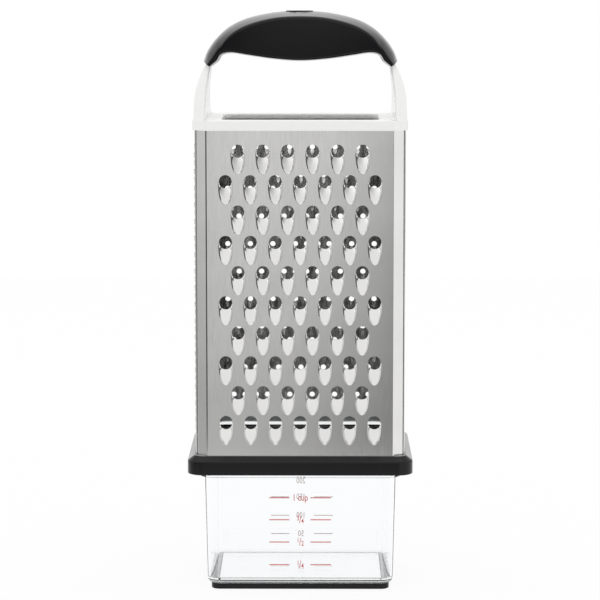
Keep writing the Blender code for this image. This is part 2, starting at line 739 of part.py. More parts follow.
def make_grip():
    pairs = grip_pairs()
    outer, inner = pairs[0]
    across = (outer - inner).normalized()
    travel = Vector((across.y, -across.x)) * GRIP_END_EDGE
    sections = [grip_section(outer + travel, inner + travel, GRIP_END_DEPTH, GRIP_END_EDGE)]
    for i, (outer, inner) in enumerate(pairs):
        share = i / (len(pairs) - 1)
        depth = GRIP_END_DEPTH + (GRIP_DEPTH - GRIP_END_DEPTH) * math.sin(share * math.pi / 2)
        sections.append(grip_section(outer, inner, depth))
    grip = add_object("grip", strap_solid(sections + mirrored(sections[:-1])), SOFT)
    core = add_object("core", strap_solid(handle_sections(SEAT)), SOFT)
    cut(grip, core, "DIFFERENCE")
    pocket_floor = pairs[-1][0].y - (INLAY_HEIGHT - INLAY_STAND) - SEAT
    pocket = [
        (oval(INLAY_LENGTH / 2 + SEAT, INLAY_WIDTH / 2 + SEAT), pocket_floor),
        (oval(INLAY_LENGTH / 2 + SEAT, INLAY_WIDTH / 2 + SEAT), pocket_floor + 4 * INLAY_HEIGHT),
    ]
    cut(grip, add_object("pocket", stack_solid(pocket), SOFT), "DIFFERENCE")
    shade(grip.data)
    low = pocket_floor + SEAT
    high = low + INLAY_HEIGHT
    inlay = [
        (oval(INLAY_LENGTH / 2, INLAY_WIDTH / 2), low),
        (oval(INLAY_LENGTH / 2, INLAY_WIDTH / 2), high - 2 * INLAY_DOME),
        (oval(INLAY_LENGTH / 2 - INLAY_DOME, INLAY_WIDTH / 2 - INLAY_DOME), high - INLAY_DOME),
        (oval(INLAY_LENGTH / 3, INLAY_WIDTH / 3), high),
    ]
    add_object("grip_inlay", stack_solid(inlay), BLACK, True)


def oval(half_x, half_y):
    points = []
    for i in range(INLAY_SIDES):
        angle = 2 * math.pi * i / INLAY_SIDES
        points.append((half_x * math.cos(angle), half_y * math.sin(angle)))
    return points


def main():
    for old in list(bpy.data.objects):
        bpy.data.objects.remove(old)
    make_foot()
    make_container()
    make_base_frame()
    make_base_skirt()
    make_sheets()
    make_fine_panel()
    make_handle_frame()
    make_grip()


main()
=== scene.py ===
"""Looks of the box grater on its measuring container: fine meshes, finishes, light and camera.

Metres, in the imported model's frame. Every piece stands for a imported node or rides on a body.
"""

import math

import bmesh
import bpy
from mathutils import Matrix, Vector
from mathutils.geometry import delaunay_2d_cdt


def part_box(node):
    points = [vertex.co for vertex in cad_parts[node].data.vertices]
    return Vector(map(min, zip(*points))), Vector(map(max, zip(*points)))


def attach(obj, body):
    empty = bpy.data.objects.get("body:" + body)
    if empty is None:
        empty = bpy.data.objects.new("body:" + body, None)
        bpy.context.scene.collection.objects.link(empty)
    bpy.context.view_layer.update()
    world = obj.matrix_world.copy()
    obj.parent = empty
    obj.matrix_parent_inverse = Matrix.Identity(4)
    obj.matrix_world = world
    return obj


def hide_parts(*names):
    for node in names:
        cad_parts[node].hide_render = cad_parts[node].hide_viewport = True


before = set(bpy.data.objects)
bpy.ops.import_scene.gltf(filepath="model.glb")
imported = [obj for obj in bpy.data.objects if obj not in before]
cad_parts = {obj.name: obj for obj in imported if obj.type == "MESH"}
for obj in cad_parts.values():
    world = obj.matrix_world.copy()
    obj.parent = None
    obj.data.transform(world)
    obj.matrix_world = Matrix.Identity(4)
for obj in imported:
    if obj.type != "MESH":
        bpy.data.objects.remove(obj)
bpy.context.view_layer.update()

MM = 0.001

# Gaps and gauges
SEAT = 0.3 * MM  # gap between pieces that rest on each other
SHEET = 0.6 * MM
WALL = 1.5 * MM  # hard plastic walls inside the tube

# The tube, read from the side sheet, which spans between the corner facets
side_low, side_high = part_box("slicer_panel")
TUBE_CORNER = 5.6 * MM
HALF_X = side_high.x
HALF_Y = side_high.y + TUBE_CORNER
TUBE_BOTTOM = side_low.z
TUBE_TOP = side_high.z
TUBE_HEIGHT = TUBE_TOP - TUBE_BOTTOM
LAP_LENGTH = 6.0 * MM
BEND_RADIUS = 1.1 * MM
BEND_STEPS = 5
INSIDE_LAPS = -2 * (SHEET + SEAT)  # inner face of the laps, from the tube's faces
LIT_SMOOTH_HEIGHT = 14.0 * MM  # height of the band inside, below the punches, that is smooth and painted brighter as if lit from below
LIT_SMOOTH_FADE = 3.0 * MM
SIDE_LIP = 0.35 * MM  # how far a side sheet's edges turn in
STEEL_TINT = (1.0, 0.995, 0.982)
TOLERANCE = 1e-7

# Plan outlines
PLAN_STEPS = 4  # along each eased edge of a corner facet
EASE_STEPS = 4

# Coarse side
COARSE_PATTERN = {
    "pitch": 12.0 * MM, "row_pitch": 14.66 * MM, "top_drop": 11.6 * MM, "rows": 10, "full": 7}
COARSE_SCOOP = {
    "hole": 6.2 * MM, "half": 3.5 * MM, "start": 3.0 * MM, "length": 11.3 * MM,
    "height": 2.0 * MM, "wall": 0.85 * MM,
    "lower_steps": 34, "upper_steps": 14, "wall_rings": 8, "deck_rings": 3}

# Medium side
MEDIUM_PATTERN = {
    "pitch": 5.77 * MM, "row_pitch": 7.1 * MM, "top_drop": 14.6 * MM, "rows": 20, "full": 14}
MEDIUM_SCOOP = {
    "hole": 2.7 * MM, "half": 1.5 * MM, "start": 1.0 * MM, "length": 4.6 * MM,
    "height": 1.0 * MM, "wall": 0.4 * MM,
    "lower_steps": 16, "upper_steps": 8, "wall_rings": 4, "deck_rings": 2}

# Both kinds of scoop
SCOOP_DIP = 0.03 * MM  # the shallow groove round a scoop
DIP_SHARE = 0.3  # and its share of the wall's width
SIDE_SHARE = 0.13  # of the lower outline, for each straight side
ARCH_POWER = 0.97  # below 1, the arch's shoulders are fuller than an ellipse's
OPEN_FROM = 0.2  # hole radii below its middle, where the lip starts to rise
OPEN_OVER = 0.55  # and the radii that it takes
DECK_FALL = 0.1  # how much lower the deck is at its sides, as a share
WALL_MOST = 0.6  # most that the wall takes of the way to the hole

# Fine side: small holes whose torn corners stand up as four points
FINE_PATTERN = {
    "pitch": 5.2 * MM, "row_pitch": 4.06 * MM, "top_drop": 10.1 * MM, "rows": 36, "full": 12}
FINE_OUTER = 1.45 * MM
FINE_TIP = 1.08 * MM  # the hole's centre to a point
FINE_THROAT = 0.62 * MM  # the same to the edge between two points
FINE_POINT = 0.7 * MM
FINE_LOW = 0.25  # height of the edge between two points, as a share
FINE_SIDES = 16
FINE_POWER = 1.6  # how sharply an edge runs out to its point
FINE_RINGS = (0.0, 0.35, 0.7, 1.0)

# Slicing side
SLICER_PITCH = 36.0 * MM
SLICER_TOP_DROP = 31.0 * MM
SLICER_SLOTS = 4
SLICER_HALF = 25.0 * MM
SLICER_SLOT = 2.6 * MM
SLICER_RAMP = 11.0 * MM
SLICER_PRESS = 2.0 * MM
SLICER_LIP = 1.2 * MM  # the flush sheet's margin round the slot
SLICER_CORNER = 0.6 * MM
SLICER_LEVEL = 0.25  # share of the slot's height that stays flush
SLICER_CORNER_STEPS = 6
SLICER_RUNS = 12  # faces along a long edge
SLICER_RINGS = (0.0, 0.2, 0.4, 0.6, 0.8, 1.0)

# Base and container levels, read from their nodes
BASE_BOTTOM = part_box("base_skirt")[0].z
SKIRT_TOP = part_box("base_skirt")[1].z
SKIRT_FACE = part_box("base_skirt")[1].x - HALF_X
SKIRT_CORNER = 8.0 * MM
SKIRT_SLOPE = 2.5 * MM
SKIRT_LAND = 0.5 * MM
CUP_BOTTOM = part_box("container")[0].z
NECK_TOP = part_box("container")[1].z
FLANGE_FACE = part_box("container")[1].x - HALF_X
FLANGE_TOP = BASE_BOTTOM - SEAT
FLANGE_HEIGHT = 1.9 * MM
FLANGE_BOTTOM = FLANGE_TOP - FLANGE_HEIGHT
CUP_WALL = 1.2 * MM
CUP_FLOOR = 2.5 * MM
CUP_TOP_FACE = -4.1 * MM
CUP_BOTTOM_FACE = -5.35 * MM
CUP_NECK_FACE = -4.8 * MM
CUP_CORNER = 6.0 * MM
CUP_EDGE = 2.2 * MM
CUP_FILLET = 0.5 * MM
CUP_LIP = 0.4 * MM
CUP_LEAST = 1.5 * MM  # least radius of its corners in plan
CUP_MIDDLE = -16.0 * MM  # edge of the floor's flat middle
CUP_STEPS = 7
FOOT_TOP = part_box("container_foot")[1].z
FOOT_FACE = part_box("container_foot")[1].x - HALF_X
FOOT_WIDTH = 3.2 * MM
FOOT_CORNER = 4.2 * MM
FOOT_LEAST = 1.0 * MM

# Collar and arms
COLLAR_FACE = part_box("handle_frame")[1].x - HALF_X
COLLAR_CEILING = TUBE_TOP + SEAT
COLLAR_DECK = 2.5 * MM
COLLAR_HEIGHT = 4.7 * MM
COLLAR_TOP = COLLAR_CEILING + COLLAR_DECK
COLLAR_BOTTOM = COLLAR_TOP - COLLAR_HEIGHT
SPIGOT_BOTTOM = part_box("handle_frame")[0].z
OPENING_FACE = -12.65 * MM  # the top opening's edge, in from the tube's faces
OPENING_CORNER = 6.0 * MM
OPENING_EDGE = 1.7 * MM
ARM_INSET = 0.4 * MM  # the arms' outer faces, in from the collar's
ARM_PROUD = 0.01 * MM  # their corner facets, out from the collar's
ARM_THICKNESS = 5.8 * MM
ARM_NOSE = 0.9 * MM
ARM_EDGE = 0.35 * MM
ARM_FOOT = -1.25 * MM  # the arms' feet, sunk in the collar
ARM_TOP_DEPTH = 25.0 * MM
ARM_RISE = 25.9 * MM
ARM_STRAIGHT = 7.5 * MM
ARM_LEAN = 5.1 * MM
ARM_TAPER = 2.9 * MM
ARM_DEPTH_CURVE = 1.45
ARM_STATIONS = 25
ARM_TOP = COLLAR_TOP + ARM_RISE
ARM_STEPS = 3
ARCH_DEPTH = 20.0 * MM
ARCH_BETWEEN = 2  # sections for each stretch of the grip's profile

# Grip: outer and inner points of its sections from the right end to the top, across as a
# share of its reach and up as a share of its rise
GRIP_REACH = 45.0 * MM
GRIP_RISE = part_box("grip")[1].z - ARM_TOP
GRIP_PROFILE = (
    ((1.060, 0.075), (0.964, -0.036)),
    ((1.016, 0.262), (0.893, 0.060)),
    ((0.925, 0.480), (0.850, 0.172)),
    ((0.785, 0.700), (0.747, 0.204)),
    ((0.586, 0.866), (0.569, 0.158)),
    ((0.290, 0.977), (0.289, 0.088)),
    ((0.0, 1.0), (0.0, 0.054)),
)
GRIP_BETWEEN = 6  # sections for each stretch of the profile
GRIP_DEPTH = 34.0 * MM
GRIP_END_DEPTH = 32.0 * MM
GRIP_ROUNDING = 2.0 * MM  # of the edges beside its crowned top
GRIP_UNDER_ROUNDING = 1.3 * MM  # of the edges beside its underside
GRIP_CROWN = 2.6 * MM  # rise of its top from the front and back edges to the middle
GRIP_END_CROWN = 6.4 * MM  # the same at its ends
GRIP_UNDER_CROWN = 1.0 * MM  # the same of its underside
GRIP_CROWN_CURVE = 1.25
GRIP_END_CURVE = 1.9
GRIP_CORNER_STEPS = 6
GRIP_CROWN_SPOTS = 13
GRIP_CROWN_SPAN = 0.84  # share of the depth that those spots take
GRIP_CROWN_MOST = 1.1  # the most of each, as a share of half the section's thickness
GRIP_UNDER_MOST = 0.3
GRIP_ROUNDING_MOST = 0.22
GRIP_END_EDGE = 0.4 * MM
GRIP_END_STEPS = 4
PLATE_LENGTH = 13.4 * MM
PLATE_WIDTH = 9.0 * MM
PLATE_HEIGHT = 1.6 * MM
PLATE_STAND = 0.25 * MM
PLATE_SHIFT = -0.5 * MM  # to the left of the grip's middle
PLATE_EDGE = 0.3 * MM
PLATE_SIDES = 48
GRIP_TOP = ARM_TOP + GRIP_RISE
PLATE_LOW = GRIP_TOP - (PLATE_HEIGHT - PLATE_STAND)

# Printed scale: each mark's words, height and level, and the ends of the dashes beside it
FRONT_MARKS = (("1 cup", 3.4 * MM, 46.4 * MM), ("3/4", 3.8 * MM, 35.4 * MM),
               ("1/2", 3.8 * MM, 24.2 * MM), ("1/4", 3.8 * MM, 12.75 * MM))
FRONT_DASHES = ((-15.2 * MM, -5.3 * MM), (5.0 * MM, 15.1 * MM))
BACK_MARKS = (("200", 3.1 * MM, 41.9 * MM), ("150", 3.1 * MM, 33.5 * MM),
              ("100", 3.1 * MM, 23.8 * MM), ("50", 3.1 * MM, 14.2 * MM))
BACK_DASHES = ((-16.5 * MM, -6.75 * MM), (6.0 * MM, 15.5 * MM))
INK = 0.03 * MM
FRONT_DASH = 0.48 * MM
BACK_DASH = 0.3 * MM
FRONT_WEIGHT = 0.03 * MM  # how far the letters' outlines grow
BACK_WEIGHT = -0.03 * MM
PRINT_GAP = 0.01 * MM
MERGE = 0.001 * MM
LETTER_SIZE = 1.42  # font size for lettering of height 1
LETTER_WIDTH = 0.72
DIGIT_SIZE = 0.66  # a fraction's digits, and how far they stand up or down
DIGIT_RISE = 0.2
DIGIT_LEFT = -0.28  # and how far to the sides
DIGIT_RIGHT = 0.3

# Floor, lamps and camera
FLOOR = ((-0.35, -0.35, 0), (1.2, -0.35, 0), (1.2, 1.3, 0), (-0.35, 1.3, 0))
FLOOR_GLOW = 0.92  # share of it that is plain white where it is seen
LAMPS = (  # name, place, target, side and watts
    ("top_light", (0, 0, 1.1), (0, 0, 0.15), 0.9, 0.8),
    ("left_light", (-0.9, 0.6, 0.65), (0, 0, 0.2), 0.7, 0.4),
    ("right_light", (0.9, 0.6, 0.65), (0, 0, 0.2), 0.7, 0.4),
)
CAMERA_PLACE = (0.007, -1.2693, 0.2985)
CAMERA_DOWN = 7.133  # degrees
CAMERA_TURN = 0.3295
CAMERA_LENS = 153.9  # millimetres
CAMERA_SENSOR = 36.0

# Brightness of the room that the steel mirrors straight in front, where x points right:
# level + up * height + x * (side + twist * height + bend * x)
ROOM_DROP = 0.06  # height is counted from this far below level
ROOM_LEVEL = 0.839
ROOM_UP = 3.06
ROOM_SIDE = -3.24
ROOM_TWIST = 38.0
ROOM_BEND = -96.0
ROOM_LIMITS = (0.12, 0.85)
ROOM_LOW = (-0.125, -0.095, 0.82, 1.0)  # it dims lower down: heights, then shares
LEFT_DROP = 0.057  # the room on the left, in the same way
LEFT_LEVEL = 0.68
LEFT_UP = 2.25
LEFT_LIMITS = (0.3, 0.9)
QUARTER_DIM = 0.93  # how much darker the left front quarter is
BESIDE = 0.35  # brightness beside the backdrop
BESIDE_SHARE = 0.9  # and how much of that shows
TABLE_LEVEL = 0.872
TABLE_SIDE = 2.3
TABLE_END = 0.12  # brightness beyond the table
SCATTERED = 0.98  # the studio's brightness on rough surfaces


def material_nodes(name, **sockets):
    """A new material with its Principled shader's sockets set. Underscores stand for spaces."""
    made = bpy.data.materials.new(name)
    made.use_nodes = True
    shader = made.node_tree.nodes["Principled BSDF"]
    for socket, value in sockets.items():
        shader.inputs[socket.replace("_", " ")].default_value = value
    return made, made.node_tree, shader


def wire(tree, node, inputs):
    """Link or set the node's inputs, given by name or number."""
    for name, value in inputs.items():
        if isinstance(value, bpy.types.NodeSocket):
            tree.links.new(value, node.inputs[name])
        else:
            node.inputs[name].default_value = value
    return node


def add_node(tree, kind, inputs):
    return wire(tree, tree.nodes.new(kind), inputs)


def noise(tree, scale, stretch=(1.0, 1.0, 1.0), detail=3.0):
    """Noise in the piece's own metres, scale in cells per metre."""
    place = tree.nodes.new("ShaderNodeTexCoord").outputs["Object"]
    cells = [scale * share for share in stretch]
    spread = add_node(tree, "ShaderNodeMapping", {"Vector": place, "Scale": cells})
    inputs = {"Vector": spread.outputs["Vector"], "Scale": 1.0, "Detail": detail}
    return add_node(tree, "ShaderNodeTexNoise", inputs).outputs["Fac"]


def math_node(tree, operation, *values):
    node = tree.nodes.new("ShaderNodeMath")
    node.operation = operation
    return wire(tree, node, dict(enumerate(values))).outputs[0]


def blend(tree, first, second, share, kind="FLOAT"):
    """Mix of two numbers, or of two colours where kind is RGBA."""
    node = tree.nodes.new("ShaderNodeMix")
    node.data_type = kind
    return wire(tree, node, {"A": first, "B": second, "Factor": share}).outputs["Result"]


def spread_range(tree, source, low, high, start=0.3, end=0.7, kind="LINEAR"):
    """The source's values from start to end, stretched from low to high."""
    node = tree.nodes.new("ShaderNodeMapRange")
    node.interpolation_type = kind
    limits = {"From Min": start, "From Max": end, "To Min": low, "To Max": high}
    return wire(tree, node, {"Value": source, **limits}).outputs["Result"]


def ramp(tree, source, start, end, low=0.0, high=1.0):
    """A smooth climb from low at start to high at end."""
    return spread_range(tree, source, low, high, start, end, "SMOOTHSTEP")


def clamped(tree, value, low, high):
    return math_node(tree, "MINIMUM", math_node(tree, "MAXIMUM", value, low), high)


def tint(tree, source, dark, light, shader):
    """Base colour that wanders between two close tones."""
    tone = blend(tree, (*dark, 1.0), (*light, 1.0), source, "RGBA")
    tree.links.new(tone, shader.inputs["Base Color"])


def steel_material(name, dark, light, scale, rough, stretch=(1.0, 1.0, 1.0)):
    """Brushed steel. Its tone wanders in patches, scale of them to the metre but for the stretch
    along each axis, and its roughness with the upright grain."""
    made, tree, shader = material_nodes(name, Metallic=1.0, Roughness=0.13)
    grain = noise(tree, 900.0, stretch=(6.0, 6.0, 0.12), detail=4.0)
    cloud = spread_range(tree, noise(tree, scale, stretch), 0.0, 1.0, start=0.35, end=0.65)
    tones = [[tone * share for share in STEEL_TINT] for tone in (dark, light)]
    tint(tree, cloud, *tones, shader)
    tree.links.new(spread_range(tree, grain, *rough), shader.inputs["Roughness"])
    return made


def smooth_and_lit_foot(material):
    """The steel inside is smooth below the lowest punches, and painted bright there as if lit from
    below.
    """
    tree = material.node_tree
    shader = tree.nodes["Principled BSDF"]
    place = tree.nodes.new("ShaderNodeTexCoord").outputs["Object"]
    split = add_node(tree, "ShaderNodeSeparateXYZ", {0: place})
    top = TUBE_BOTTOM + LIT_SMOOTH_HEIGHT
    low = spread_range(tree, split.outputs["Z"], 1.0, 0.0, top, top + LIT_SMOOTH_FADE)
    # Painted light: the near-white colour stands in for light from below; the low roughness is the
    # smooth finish.
    smooth_and_lit = (("Base Color", (0.9, 0.9, 0.9, 1.0), "RGBA"), ("Roughness", 0.03, "FLOAT"))
    for name, value, kind in smooth_and_lit:
        socket = shader.inputs[name]
        dull = socket.links[0].from_socket
        tree.links.new(blend(tree, dull, value, low, kind), socket)


def plastic_material(name, dark, light, rough, cloud, grain, detail, depth, **sockets):
    """Moulded plastic. Its tone and roughness wander in clouds, under a fine grain of the given
    depth; cloud and grain are in cells per metre."""
    made, tree, shader = material_nodes(name, IOR=1.5, **sockets)
    wander = noise(tree, cloud)
    relief = noise(tree, grain, detail=detail)
    tint(tree, wander, dark, light, shader)
    inputs = {"Distance": depth, "Strength": 1.0, "Height": relief}
    bump = add_node(tree, "ShaderNodeBump", inputs)
    roughness = spread_range(tree, wander, *rough)
    wire(tree, shader, {"Roughness": roughness, "Normal": bump.outputs["Normal"]})
    return made


def tinted_material(name, cells, dark, light, detail=3.0, **sockets):
    made, tree, shader = material_nodes(name, **sockets)
    tint(tree, noise(tree, cells, detail=detail), dark, light, shader)
    return made


STEEL = steel_material("brushed_steel", dark=0.76, light=0.80, scale=45.0, rough=(0.10, 0.16))
# Inside, the steel is a little rougher, and its tone swings widely in upright streaks: painted
# reflections of the punches seen inside the tube.
STEEL_INSIDE_PAINTED_STREAKS = steel_material(
    "dull_steel_and_painted_streaks", dark=0.28, light=0.80, scale=520.0, rough=(0.12, 0.28), stretch=(1.0, 1.0, 0.35))
# Painted light on the lowest band of the inside steel
smooth_and_lit_foot(STEEL_INSIDE_PAINTED_STREAKS)
WHITE = plastic_material(
    "white_abs", dark=(0.845, 0.85, 0.835), light=(0.875, 0.88, 0.865), rough=(0.09, 0.15),
    cloud=60.0, grain=2600.0, detail=2.0, depth=0.0008 * MM, Roughness=0.12)
RUBBER = plastic_material(
    "soft_rubber", dark=(0.004, 0.004, 0.005), light=(0.006, 0.006, 0.007), rough=(0.20, 0.25),
    cloud=90.0, grain=3800.0, detail=4.0, depth=0.001 * MM, Roughness=0.22,
    Specular_IOR_Level=0.25, Sheen_Weight=1.0, Sheen_Roughness=0.25)
BLACK = plastic_material(
    "black_abs", dark=(0.008, 0.008, 0.009), light=(0.012, 0.012, 0.013), rough=(0.30, 0.40),
    cloud=70.0, grain=3000.0, detail=2.0, depth=0.006 * MM, Roughness=0.35)
CLEAR = tinted_material(
    "clear_plastic", 40.0, (0.975, 0.985, 0.99), (0.99, 0.995, 1.0),
    Roughness=0.0, IOR=1.5, Transmission_Weight=1.0)
INK_RED = tinted_material(
    "red_ink", 5000.0, (0.58, 0.07, 0.07), (0.70, 0.12, 0.11), detail=2.0, Roughness=0.4)


def eased(corners, closed=True, steps=EASE_STEPS):
    """Outline through corners, each (x, y, radius), with an arc at each that has a radius."""
    points = []
    count = len(corners)
    for i, (x, y, radius) in enumerate(corners):
        here = Vector((x, y))
        if radius == 0 or (not closed and i in (0, count - 1)):
            points.append(here)
            continue
        into = (here - Vector(corners[i - 1][:2])).normalized()
        away = (Vector(corners[(i + 1) % count][:2]) - here).normalized()
        turn = math.atan2(into.x * away.y - into.y * away.x, into.dot(away))
        start = here - into * radius * math.tan(abs(turn) / 2)
        towards = Vector((-into.y, into.x)) * math.copysign(radius, turn)
        centre = start + towards
        for step in range(steps + 1):
            points.append(centre - Matrix.Rotation(turn * step / steps, 2) @ towards)
    return points


def tube_plan(offset):
    """Outline parallel to the tube's faces and corner facets, with eased edges."""
    x = HALF_X + offset
    y = HALF_Y + offset
    leg = TUBE_CORNER + offset * (2 - math.sqrt(2))
    radius = max(BEND_RADIUS + offset, SEAT)
    corner = [(x, y - leg), (x - leg, y)]
    corner += [(-px, py) for px, py in reversed(corner)]
    corner += [(-px, -py) for px, py in corner]
    return eased([(px, py, radius) for px, py in corner], steps=PLAN_STEPS)


def round_plan(offset, radius):
    """Outline parallel to the tube's faces, with round corners."""
    x = HALF_X + offset
    y = HALF_Y + offset
    corners = [(x, y, radius), (-x, y, radius), (-x, -y, radius), (x, -y, radius)]
    return eased(corners, steps=2 * PLAN_STEPS + 1)


def quads(outer, inner):
    """Corners of the faces between two closed rows of the same length."""
    count = len(outer)
    return [(outer[i], outer[(i + 1) % count], inner[(i + 1) % count], inner[i])
            for i in range(count)]


def skin(mesh_data, rings, closed_path=False):
    """Join rings of points, each the same length, with quads. Returns the vertices."""
    rows = [[mesh_data.verts.new(point) for point in ring] for ring in rings]
    following = rows[1:] + rows[:1] if closed_path else rows[1:]
    for lower, upper in zip(rows, following):
        for corners in quads(lower, upper):
            mesh_data.faces.new(corners)
    return rows


def swept(outline, plan):
    """Rings of points: the plan at each offset and height of the outline."""
    return [[(x, y, height) for x, y in plan(offset)] for offset, height in outline]


def mirrored(rings):
    """The rings on the other side of X = 0, in turned order."""
    return [[(-x, y, z) for x, y, z in ring] for ring in reversed(rings)]


def add_object(name, data):
    made = bpy.data.objects.new(name, data)
    bpy.context.scene.collection.objects.link(made)
    return made


def add_piece(name, mesh_data, finish, sharp_angle=35.0):
    """Object from a bmesh: shaded smooth but for edges marked sharp or over the angle."""
    bmesh.ops.recalc_face_normals(mesh_data, faces=mesh_data.faces[:])
    limit = math.radians(sharp_angle)
    for edge in mesh_data.edges:
        if edge.calc_face_angle(0.0) > limit:
            edge.smooth = False
    for face in mesh_data.faces:
        face.smooth = True
    mesh = bpy.data.meshes.new(name)
    mesh_data.to_mesh(mesh)
    mesh_data.free()
    mesh.materials.append(finish)
    return add_object(name, mesh)


def solid_piece(name, rings, finish):
    """Solid skinned over the rings, with a flat cap at each end."""
    mesh_data = bmesh.new()
    rows = skin(mesh_data, rings)
    mesh_data.faces.new(rows[0][::-1])
    mesh_data.faces.new(rows[-1])
    return add_piece(name, mesh_data, finish)


def weigh_normals(piece):
    """Large flat faces keep their own normals beside small eased edges."""
    weighted = piece.modifiers.new("weighted_normals", "WEIGHTED_NORMAL")
    weighted.keep_sharp = True


def combine(target, cutter, operation):
    """Apply an exact Boolean to target and remove the cutter."""
    modifier = target.modifiers.new(operation.lower(), "BOOLEAN")
    modifier.operation = operation
    modifier.solver = "EXACT"
    modifier.object = cutter
    graph = bpy.context.evaluated_depsgraph_get()
    result = bpy.data.meshes.new_from_object(target.evaluated_get(graph))
    target.modifiers.remove(modifier)
    target.data = result
    bpy.data.objects.remove(cutter)


def settle(piece, body, slot, *nodes):
    """Ride the piece on its body and let it stand for its nodes. The slot is not used."""
    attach(piece, body)
    if nodes:
        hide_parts(*nodes)


def bent_path(corners):
    """Stations (distance, place, outward normal) along a plan path whose bends are arcs. The
    path runs with the outside on its right, so +X travel faces -Y."""
    points = [Vector(corner) for corner in corners]
    runs = [(b - a).normalized() for a, b in zip(points, points[1:])]
    faces = [Vector((run.y, -run.x)) for run in runs]
    stations = [(0.0, points[0], faces[0])]
    for i in range(1, len(points) - 1):
        turn = math.acos(runs[i - 1].dot(runs[i]))
        start = points[i] - runs[i - 1] * BEND_RADIUS * math.tan(turn / 2)
        centre = start - faces[i - 1] * BEND_RADIUS
        distance = stations[-1][0] + (start - stations[-1][1]).length
        for step in range(BEND_STEPS + 1):
            share = step / BEND_STEPS
            outward = Matrix.Rotation(turn * share, 2) @ faces[i - 1]
            place = centre + outward * BEND_RADIUS
            stations.append((distance + BEND_RADIUS * turn * share, place, outward))
    last = stations[-1][0] + (points[-1] - stations[-1][1]).length
    stations.append((last, points[-1], faces[-1]))
    return stations


def on_sheet(stations, across):
    """Place and outward normal at a developed distance across the sheet."""
    for (low, a, normal_a), (high, b, normal_b) in zip(stations, stations[1:]):
        if across <= high + TOLERANCE:
            share = min(max((across - low) / (high - low), 0.0), 1.0)
            return a.lerp(b, share), normal_a.lerp(normal_b, share).normalized()
    raise ValueError("a point lies off the sheet")


def flat_layout(stations, patches):
    """The sheet laid flat and triangulated between its patches. Returns its points, its
    triangles, and the numbers of the points round its border and round each patch."""
    middle = stations[-1][0] / 2
    flat = [Vector((across, 0.0)) for across, _, _ in stations]
    flat += [Vector((across, TUBE_HEIGHT)) for across, _, _ in reversed(stations)]
    folds = [(i, len(flat) - 1 - i) for i in range(1, len(stations) - 1)]
    loops = [list(range(len(flat)))]
    for rings in patches:
        first = len(flat)
        flat += [Vector((middle + x, z)) for x, z, _ in rings[0]]
        loops.append(list(range(first, len(flat))))
    inside = 1
    laid = delaunay_2d_cdt(flat, folds, loops, inside, TOLERANCE)
    spots, _, triangles, sources, _, owners = laid
    spot_of = {source: i for i, given in enumerate(sources) for source in given}
    plain = [triangle for triangle, owner in zip(triangles, owners) if max(owner) == 0]
    return spots, plain, [[spot_of[i] for i in loop] for loop in loops]


def punched_sheet(name, corners, patches):
    """Folded sheet. Each patch is a list of rings of (across, up, push), from its flush
    outline on the sheet to the rim of its hole; across from the sheet's middle, up from the
    tube's bottom, push outwards."""
    stations = bent_path(corners)
    middle = stations[-1][0] / 2
    spots, triangles, (border, *outlines) = flat_layout(stations, patches)
    mesh_data = bmesh.new()

    def raise_point(across, up, push):
        place, outward = on_sheet(stations, across)
        point = place + outward * push
        return mesh_data.verts.new((point.x, point.y, TUBE_BOTTOM + up))

    # Each skin's grids of vertex rings: the patches', then the border as a grid of one ring
    skins = []
    for side, depth in enumerate((0.0, -SHEET)):
        base = [raise_point(spot.x, spot.y, depth) for spot in spots]
        grids = []
        for rings, outline in zip(patches, outlines):
            grid = [[base[i] for i in outline]]
            for ring in rings[1:]:
                grid.append([raise_point(middle + x, z, push + depth) for x, z, push in ring])
            grids.append(grid)
        grids.append([[base[i] for i in border]])
        skins.append(grids)
        faces = [[base[i] for i in triangle] for triangle in triangles]
        for grid in grids:
            for outer, inner in zip(grid, grid[1:]):
                faces += quads(outer, inner)
        for loop in faces:
            face = mesh_data.faces.new(loop if side == 0 else loop[::-1])
            face.material_index = side
    for grid, grid_inside in zip(*skins):
        for a, b, c, d in quads(grid[-1], grid_inside[-1]):
            mesh_data.faces.new((a, d, c, b))
    for grid in skins[0] + skins[1]:
        for loop in (grid[0], grid[-1]):
            for a, b in zip(loop, loop[1:] + loop[:1]):
                mesh_data.edges.get((a, b)).smooth = False
    piece = add_piece(name, mesh_data, STEEL, sharp_angle=50.0)
    piece.data.materials.append(STEEL_INSIDE_PAINTED_STREAKS)
    weigh_normals(piece)
    return piece


def patch(outline, rim, shares, push):
    """Rings from the outline to the rim; push gives the height at a point."""
    rings = []
    for share in shares:
        ring = []
        for (ax, az), (bx, bz) in zip(outline, rim):
            x = ax + (bx - ax) * share
            z = az + (bz - az) * share
            ring.append((x, z, push(x, z) if share else 0.0))
        rings.append(ring)
    return rings


def moved(rings, x, z):
    return [[(px + x, pz + z, push) for px, pz, push in ring] for ring in rings]


def polar(radius, angle):
    return radius * math.cos(angle), radius * math.sin(angle)


def smoothstep(value):
    value = min(max(value, 0.0), 1.0)
    return value * value * (3 - 2 * value)


